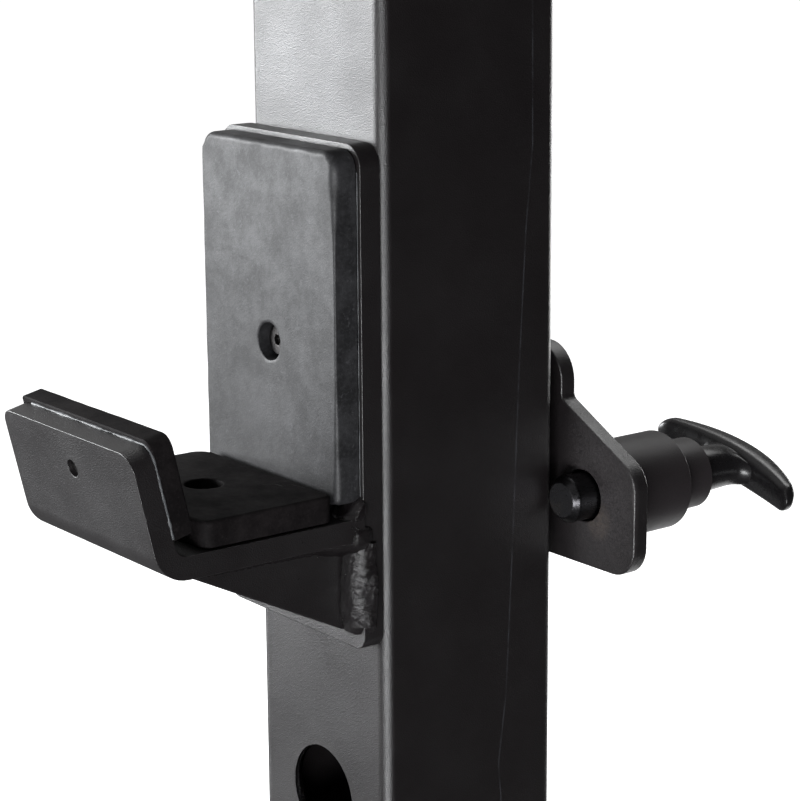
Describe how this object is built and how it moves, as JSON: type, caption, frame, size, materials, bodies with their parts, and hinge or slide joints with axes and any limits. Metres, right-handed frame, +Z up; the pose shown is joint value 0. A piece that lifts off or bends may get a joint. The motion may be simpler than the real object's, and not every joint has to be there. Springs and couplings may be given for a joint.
{
  "type": "folding power rack",
  "caption": "Wall-mounted folding power rack: two hinged side frames linked by a pull-up bar, with rubber-faced bar cups locked by sprung pull pins.",
  "frame": {"origin": "on the wall plane, midway between the two side frames, at the height of the lower hinges: the middle of the back of the lower stringer", "axes": "+X to the right when facing the wall, +Y into the wall (the lifter stands at -Y), +Z up"},
  "size_m": [1.3267, 0.7348, 2.3995],
  "materials": {
    "frame_coat": "fine-textured black powder coat, satin",
    "bracket_coat": "fine-textured black powder coat, satin",
    "cup_coat": "black powder coat over bent and welded plate, satin",
    "hardware_steel": "black oxide bolts, satin",
    "zinc_steel": "zinc plated, satin",
    "bronze": "plain bronze, satin",
    "nylon": "natural nylon, matte",
    "foot_rubber": "matte black rubber",
    "grey_rubber": "matte dark grey rubber with rolled edges",
    "black_rubber": "matte black rubber with cut sides",
    "screw_steel": "black oxide, satin",
    "spring_steel": "bright spring steel",
    "gloss_handle": "moulded black plastic, glossy",
    "satin_black_barrel": "satin black",
    "black_oxide_pin": "black oxide with a bright bevel",
    "peg_steel": "turned steel, satin"
  },
  "bodies": {
    "wall_frame": {"upper_stringer": "bracket_coat", "lower_stringer": "bracket_coat", "left_upper_bracket": "bracket_coat", "left_lower_bracket": "bracket_coat", "right_upper_bracket": "bracket_coat", "right_lower_bracket": "bracket_coat", "bracket_bolts": "hardware_steel", "hinge_bolts": "hardware_steel", "left_lock_guide": "bracket_coat", "right_lock_guide": "bracket_coat"},
    "crossbar": {"pullup_bar": "frame_coat", "bar_brackets": "bracket_coat", "pivot_washers": "nylon"},
    "left_frame": {"left_upright": "frame_coat", "left_upper_arm": "frame_coat", "left_lower_arm": "frame_coat", "left_hinge_sleeves": "frame_coat", "left_hinge_bushes": "bronze", "left_top_plate": "frame_coat", "left_foot": "foot_rubber", "left_pivot_bolt": "hardware_steel"},
    "left_lock": {"left_lock_pin": "zinc_steel"},
    "left_cup": {"left_cup_front_plate": "cup_coat", "left_cup_wrap_plate": "cup_coat", "left_cup_saddle": "cup_coat", "left_cup_gusset": "cup_coat", "left_cup_peg": "peg_steel", "left_cup_back_pad": "grey_rubber", "left_cup_floor_pad": "black_rubber", "left_cup_lip_pad": "black_rubber", "left_cup_screws": "screw_steel", "left_pin_barrel": "satin_black_barrel", "left_barrel_cap": "satin_black_barrel", "left_pin_spring": "spring_steel"},
    "left_plunger": {"left_pin": "black_oxide_pin", "left_pin_handle": "gloss_handle"},
    "right_frame": {"right_upright": "frame_coat", "right_upper_arm": "frame_coat", "right_lower_arm": "frame_coat", "right_hinge_sleeves": "frame_coat", "right_hinge_bushes": "bronze", "right_top_plate": "frame_coat", "right_foot": "foot_rubber", "right_pivot_bolt": "hardware_steel"},
    "right_lock": {"right_lock_pin": "zinc_steel"},
    "right_cup": {"right_cup_front_plate": "cup_coat", "right_cup_wrap_plate": "cup_coat", "right_cup_saddle": "cup_coat", "right_cup_gusset": "cup_coat", "right_cup_peg": "peg_steel", "right_cup_back_pad": "grey_rubber", "right_cup_floor_pad": "black_rubber", "right_cup_lip_pad": "black_rubber", "right_cup_screws": "screw_steel", "right_pin_barrel": "satin_black_barrel", "right_barrel_cap": "satin_black_barrel", "right_pin_spring": "spring_steel"},
    "right_plunger": {"right_pin": "black_oxide_pin", "right_pin_handle": "gloss_handle"}
  },
  "joints": [
    {"name": "left_fold", "type": "hinge", "parent": "wall_frame", "child": "left_frame", "pos_m": [-0.584, -0.058, 0], "axis": [0, 0, 1], "range_deg": [-90, 0]},
    {"name": "right_fold", "type": "hinge", "parent": "wall_frame", "child": "right_frame", "pos_m": [0.584, -0.058, 0], "axis": [0, 0, 1], "range_deg": [-90, 0]},
    {"name": "bar_swing", "type": "hinge", "parent": "left_frame", "child": "crossbar", "pos_m": [-0.584, -0.598, 1.886], "axis": [0, 0, 1], "range_deg": [0, 90]},
    {"name": "left_lock_drop", "type": "slide", "parent": "wall_frame", "child": "left_lock", "axis": [0, 0, -1], "range_m": [0, 0.014]},
    {"name": "left_cup_unseat", "type": "slide", "parent": "left_frame", "child": "left_cup", "axis": [0, -1, 0], "range_m": [0, 0.005]},
    {"name": "left_pin_pull", "type": "slide", "parent": "left_cup", "child": "left_plunger", "axis": [0, 1, 0], "range_m": [0, 0.012], "stiffness_N_per_m": 1800, "springref_m": -0.008, "deforming": ["left_pin_spring"]},
    {"name": "right_lock_drop", "type": "slide", "parent": "wall_frame", "child": "right_lock", "axis": [0, 0, -1], "range_m": [0, 0.014]},
    {"name": "right_cup_unseat", "type": "slide", "parent": "right_frame", "child": "right_cup", "axis": [0, -1, 0], "range_m": [0, 0.005]},
    {"name": "right_pin_pull", "type": "slide", "parent": "right_cup", "child": "right_plunger", "axis": [0, 1, 0], "range_m": [0, 0.012], "stiffness_N_per_m": 1800, "springref_m": -0.008, "deforming": ["right_pin_spring"]}
  ],
  "couplings": [
    {"joint": "right_fold", "follows": "left_fold", "ratio": 1},
    {"joint": "bar_swing", "follows": "left_fold", "ratio": -1}
  ]
}
